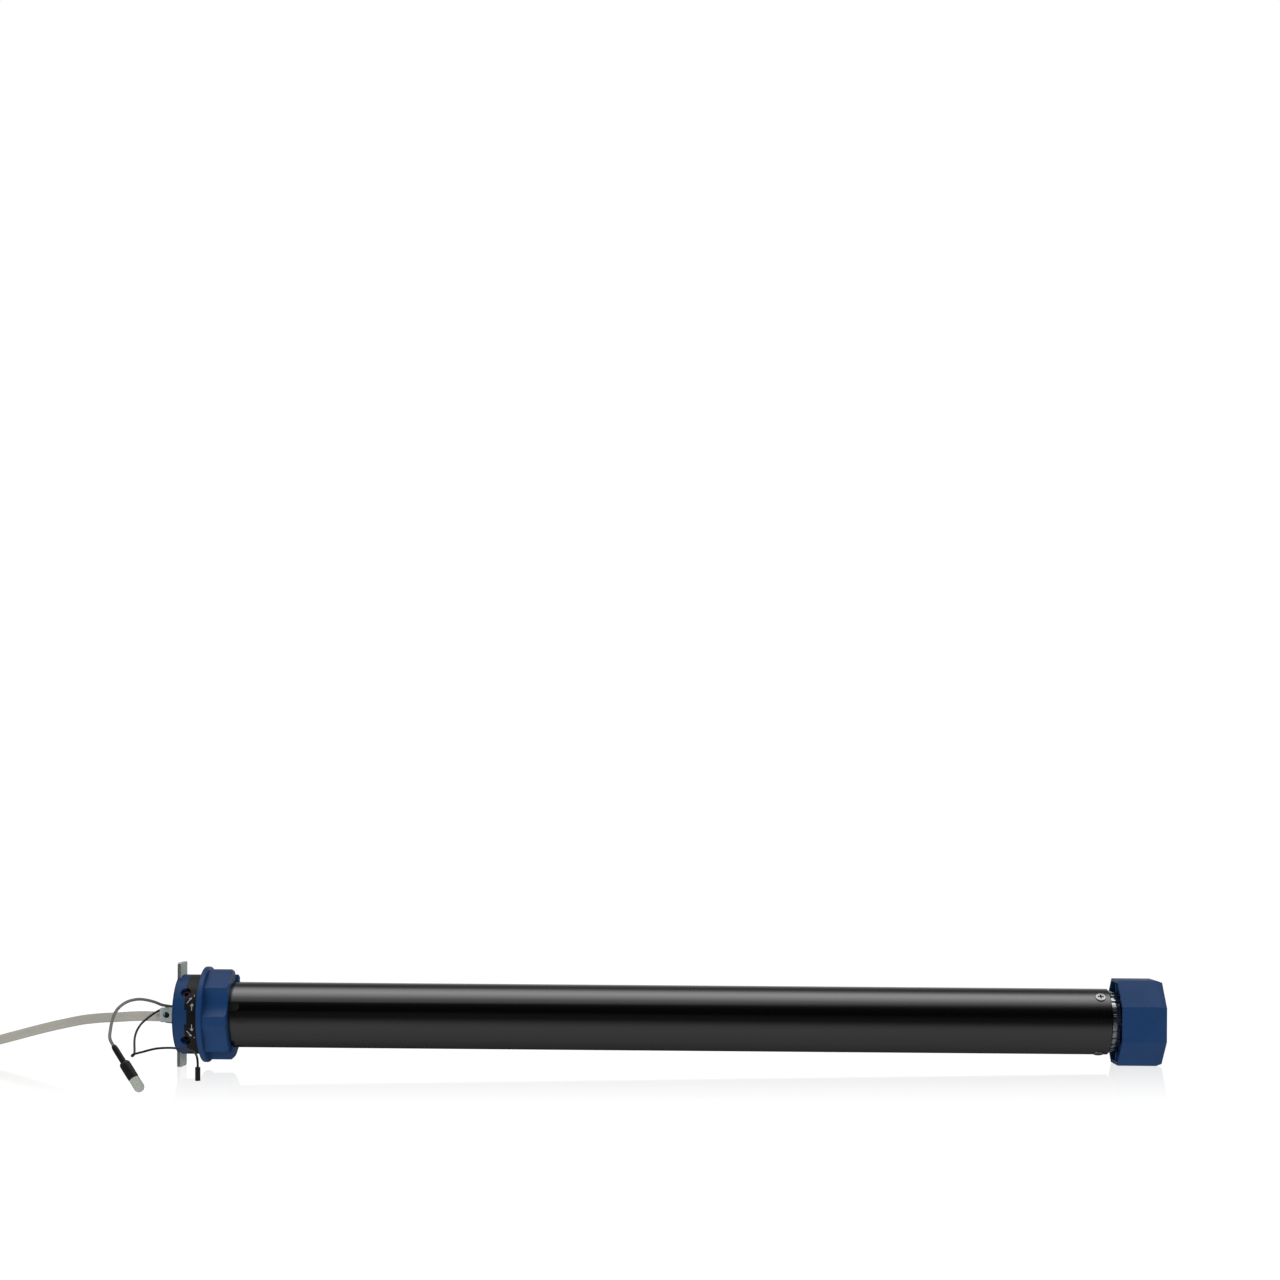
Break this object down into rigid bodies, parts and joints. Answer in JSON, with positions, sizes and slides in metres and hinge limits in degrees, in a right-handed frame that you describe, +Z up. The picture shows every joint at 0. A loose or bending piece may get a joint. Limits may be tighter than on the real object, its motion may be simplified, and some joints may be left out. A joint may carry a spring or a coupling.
{
  "type": "tubular roller blind motor",
  "caption": "Slim tubular motor for a roller blind, with a limit-switch head, idle crown, octagonal drive wheel, galvanised bracket plate, mains cable and sensor lead.",
  "frame": {"origin": "centre of the underside, on the surface that the motor lies on; the cords are not counted", "axes": "+X along the motor from the head to the drive wheel, +Z up; the motor's own axis leans 0.6 degrees down towards +X, because the bracket plate's end and the drive wheel's flat carry it"},
  "size_m": [0.9425, 0.3222, 0.072],
  "materials": {
    "galvanised_steel": "electro-galvanised sheet, satin",
    "screw_steel": "zinc plated",
    "bright_zinc_screw": "bright nickel plated",
    "blue_abs": "moulded, satin",
    "blue_pom": "moulded, satin",
    "black_pa": "moulded glass-filled nylon, satin",
    "black_rubber": "moulded, matt",
    "purple_pom": "moulded, smooth",
    "black_pom": "moulded, smooth",
    "dark_pbt": "moulded, satin",
    "spring_steel": "bright",
    "red_pom": "moulded, smooth",
    "green_pom": "moulded, smooth",
    "white_pom": "moulded, smooth",
    "grey_pa": "moulded, satin",
    "circuit_board": "solder mask with parts",
    "aluminium_can": "drawn, satin",
    "black_paint": "black powder coat, satin, on steel tube",
    "brake_iron": "turned iron, oiled",
    "brake_lining": "friction lining",
    "cast_zinc": "die cast, as cast",
    "bearing_steel": "ground",
    "lamination_steel": "stacked electrical sheet",
    "copper_wire": "enamelled copper",
    "shaft_steel": "ground and hardened",
    "sintered_steel": "sintered, greased",
    "sintered_bronze": "sintered, oil filled",
    "white_pvc": "extruded cable sheath, satin",
    "core_pvc": "extruded core insulation",
    "grey_pvc": "extruded lead, satin",
    "black_pvc": "extruded wire, satin",
    "black_shrink": "heat-shrink sleeve, satin",
    "clear_silicone": "cast translucent silicone"
  },
  "bodies": {
    "motor_body": {"mounting_plate": "galvanised_steel", "plate_screws": "screw_steel", "head_cap": "blue_abs", "head_body": "black_pa", "cable_gland": "black_rubber", "up_switch": "dark_pbt", "down_switch": "dark_pbt", "limit_frame": "grey_pa", "control_board": "circuit_board", "capacitor": "aluminium_can", "motor_tube": "black_paint", "brake_coil": "brake_iron", "brake_spring": "spring_steel", "rear_shield": "cast_zinc", "front_shield": "cast_zinc", "rear_bearing": "bearing_steel", "front_bearing": "bearing_steel", "stator_core": "lamination_steel", "stator_windings": "copper_wire", "gear_housing": "cast_zinc", "output_bearing": "sintered_bronze", "end_plug": "cast_zinc", "tube_screws": "bright_zinc_screw", "mains_cable": "white_pvc", "mains_coil": "white_pvc", "mains_cores": "core_pvc", "sensor_lead": "grey_pvc", "sensor_sleeve": "black_shrink", "sensor_body": "black_shrink", "sensor_dome": "clear_silicone", "aerial_wire": "black_pvc", "aerial_tip": "black_shrink"},
    "output": {"third_carrier": "shaft_steel", "output_hub": "cast_zinc", "drive_wheel": "blue_abs", "wheel_clip": "spring_steel"},
    "rotor": {"rotor_core": "lamination_steel", "rotor_shaft": "shaft_steel", "brake_disc": "brake_lining"},
    "first_carrier_body": {"first_carrier": "sintered_steel"},
    "second_carrier_body": {"second_carrier": "sintered_steel"},
    "first_planet_a_body": {"first_planet_a": "white_pom"},
    "first_planet_b_body": {"first_planet_b": "white_pom"},
    "first_planet_c_body": {"first_planet_c": "white_pom"},
    "second_planet_a_body": {"second_planet_a": "sintered_steel"},
    "second_planet_b_body": {"second_planet_b": "sintered_steel"},
    "second_planet_c_body": {"second_planet_c": "sintered_steel"},
    "third_planet_a_body": {"third_planet_a": "sintered_steel"},
    "third_planet_b_body": {"third_planet_b": "sintered_steel"},
    "third_planet_c_body": {"third_planet_c": "sintered_steel"},
    "crown_body": {"crown": "blue_pom"},
    "idler_gear_body": {"idler_gear": "white_pom"},
    "cam_drive_gear_body": {"cam_drive_gear": "white_pom"},
    "up_cam_body": {"up_cam": "red_pom"},
    "down_cam_body": {"down_cam": "green_pom"},
    "up_adjuster_body": {"up_adjuster": "purple_pom"},
    "down_adjuster_body": {"down_adjuster": "black_pom"},
    "up_lever_body": {"up_lever": "spring_steel"},
    "down_lever_body": {"down_lever": "spring_steel"},
    "brake_armature_body": {"brake_armature": "brake_iron"}
  },
  "joints": [
    {"name": "output_spin", "type": "hinge", "parent": "motor_body", "child": "output", "pos_m": [0.30976, 0, 0.02929], "axis": [0.9999, 0, -0.0105], "continuous": true},
    {"name": "crown_spin", "type": "hinge", "parent": "motor_body", "child": "crown_body", "pos_m": [-0.30521, 0, 0.03576], "axis": [0.9999, 0, -0.0105], "continuous": true},
    {"name": "second_carrier_spin", "type": "hinge", "parent": "motor_body", "child": "second_carrier_body", "pos_m": [0.21326, 0, 0.03031], "axis": [0.9999, 0, -0.0105], "continuous": true},
    {"name": "first_carrier_spin", "type": "hinge", "parent": "motor_body", "child": "first_carrier_body", "pos_m": [0.19726, 0, 0.03048], "axis": [0.9999, 0, -0.0105], "continuous": true},
    {"name": "rotor_spin", "type": "hinge", "parent": "motor_body", "child": "rotor", "pos_m": [0.13977, 0, 0.03108], "axis": [0.9999, 0, -0.0105], "continuous": true},
    {"name": "first_planet_a_spin", "type": "hinge", "parent": "first_carrier_body", "child": "first_planet_a_body", "pos_m": [0.20176, 0.01073, 0.03043], "axis": [0.9999, 0, -0.0105], "continuous": true},
    {"name": "first_planet_b_spin", "type": "hinge", "parent": "first_carrier_body", "child": "first_planet_b_body", "pos_m": [0.20186, -0.00536, 0.03972], "axis": [0.9999, 0, -0.0105], "continuous": true},
    {"name": "first_planet_c_spin", "type": "hinge", "parent": "first_carrier_body", "child": "first_planet_c_body", "pos_m": [0.20167, -0.00536, 0.02114], "axis": [0.9999, 0, -0.0105], "continuous": true},
    {"name": "second_planet_a_spin", "type": "hinge", "parent": "second_carrier_body", "child": "second_planet_a_body", "pos_m": [0.21776, 0.01073, 0.03026], "axis": [0.9999, 0, -0.0105], "continuous": true},
    {"name": "second_planet_b_spin", "type": "hinge", "parent": "second_carrier_body", "child": "second_planet_b_body", "pos_m": [0.21786, -0.00536, 0.03955], "axis": [0.9999, 0, -0.0105], "continuous": true},
    {"name": "second_planet_c_spin", "type": "hinge", "parent": "second_carrier_body", "child": "second_planet_c_body", "pos_m": [0.21767, -0.00536, 0.02097], "axis": [0.9999, 0, -0.0105], "continuous": true},
    {"name": "third_planet_a_spin", "type": "hinge", "parent": "output", "child": "third_planet_a_body", "pos_m": [0.23376, 0.01073, 0.03009], "axis": [0.9999, 0, -0.0105], "continuous": true},
    {"name": "third_planet_b_spin", "type": "hinge", "parent": "output", "child": "third_planet_b_body", "pos_m": [0.23386, -0.00536, 0.03938], "axis": [0.9999, 0, -0.0105], "continuous": true},
    {"name": "third_planet_c_spin", "type": "hinge", "parent": "output", "child": "third_planet_c_body", "pos_m": [0.23366, -0.00536, 0.02081], "axis": [0.9999, 0, -0.0105], "continuous": true},
    {"name": "idler_gear_spin", "type": "hinge", "parent": "motor_body", "child": "idler_gear_body", "pos_m": [-0.31021, 0.012, 0.03581], "axis": [0.9999, 0, -0.0105], "continuous": true},
    {"name": "cam_drive_gear_spin", "type": "hinge", "parent": "motor_body", "child": "cam_drive_gear_body", "pos_m": [-0.30521, -0.003, 0.03576], "axis": [0.9999, 0, -0.0105], "continuous": true},
    {"name": "up_cam_spin", "type": "hinge", "parent": "motor_body", "child": "up_cam_body", "pos_m": [-0.3001, -0.003, 0.04571], "axis": [0.9999, 0, -0.0105], "continuous": true},
    {"name": "down_cam_spin", "type": "hinge", "parent": "motor_body", "child": "down_cam_body", "pos_m": [-0.30031, -0.003, 0.02571], "axis": [0.9999, 0, -0.0105], "continuous": true},
    {"name": "up_adjuster_turn", "type": "hinge", "parent": "motor_body", "child": "up_adjuster_body", "pos_m": [-0.32158, -0.01597, 0.04797], "axis": [0.0063, -0.7986, 0.6018], "continuous": true},
    {"name": "down_adjuster_turn", "type": "hinge", "parent": "motor_body", "child": "down_adjuster_body", "pos_m": [-0.32183, -0.01597, 0.0239], "axis": [-0.0063, -0.7986, -0.6018], "continuous": true},
    {"name": "up_lever_tilt", "type": "hinge", "parent": "motor_body", "child": "up_lever_body", "pos_m": [-0.29407, 0.0067, 0.04855], "axis": [0.9999, 0, -0.0105], "range_deg": [0, 4], "stiffness_Nm_per_rad": 0.001, "springref_deg": -11.46},
    {"name": "down_lever_tilt", "type": "hinge", "parent": "motor_body", "child": "down_lever_body", "pos_m": [-0.29434, 0.0067, 0.02275], "axis": [-0.9999, 0, 0.0105], "range_deg": [0, 4], "stiffness_Nm_per_rad": 0.001, "springref_deg": -11.46},
    {"name": "brake_slide", "type": "slide", "parent": "motor_body", "child": "brake_armature_body", "axis": [-0.9999, 0, 0.0105], "range_m": [0, 0.0004], "stiffness_N_per_m": 500, "springref_m": -0.002, "deforming": ["brake_spring"]}
  ],
  "couplings": [
    {"joint": "second_carrier_spin", "follows": "output_spin", "ratio": 5.5},
    {"joint": "first_carrier_spin", "follows": "output_spin", "ratio": 30.25},
    {"joint": "rotor_spin", "follows": "output_spin", "ratio": 166.38},
    {"joint": "first_planet_a_spin", "follows": "output_spin", "ratio": -77.786},
    {"joint": "first_planet_b_spin", "follows": "output_spin", "ratio": -77.786},
    {"joint": "first_planet_c_spin", "follows": "output_spin", "ratio": -77.786},
    {"joint": "second_planet_a_spin", "follows": "output_spin", "ratio": -14.143},
    {"joint": "second_planet_b_spin", "follows": "output_spin", "ratio": -14.143},
    {"joint": "second_planet_c_spin", "follows": "output_spin", "ratio": -14.143},
    {"joint": "third_planet_a_spin", "follows": "output_spin", "ratio": -2.5714},
    {"joint": "third_planet_b_spin", "follows": "output_spin", "ratio": -2.5714},
    {"joint": "third_planet_c_spin", "follows": "output_spin", "ratio": -2.5714},
    {"joint": "idler_gear_spin", "follows": "crown_spin", "ratio": 2},
    {"joint": "cam_drive_gear_spin", "follows": "crown_spin", "ratio": -0.4},
    {"joint": "up_cam_spin", "follows": "crown_spin", "ratio": 0.13333},
    {"joint": "down_cam_spin", "follows": "crown_spin", "ratio": 0.13333}
  ]
}
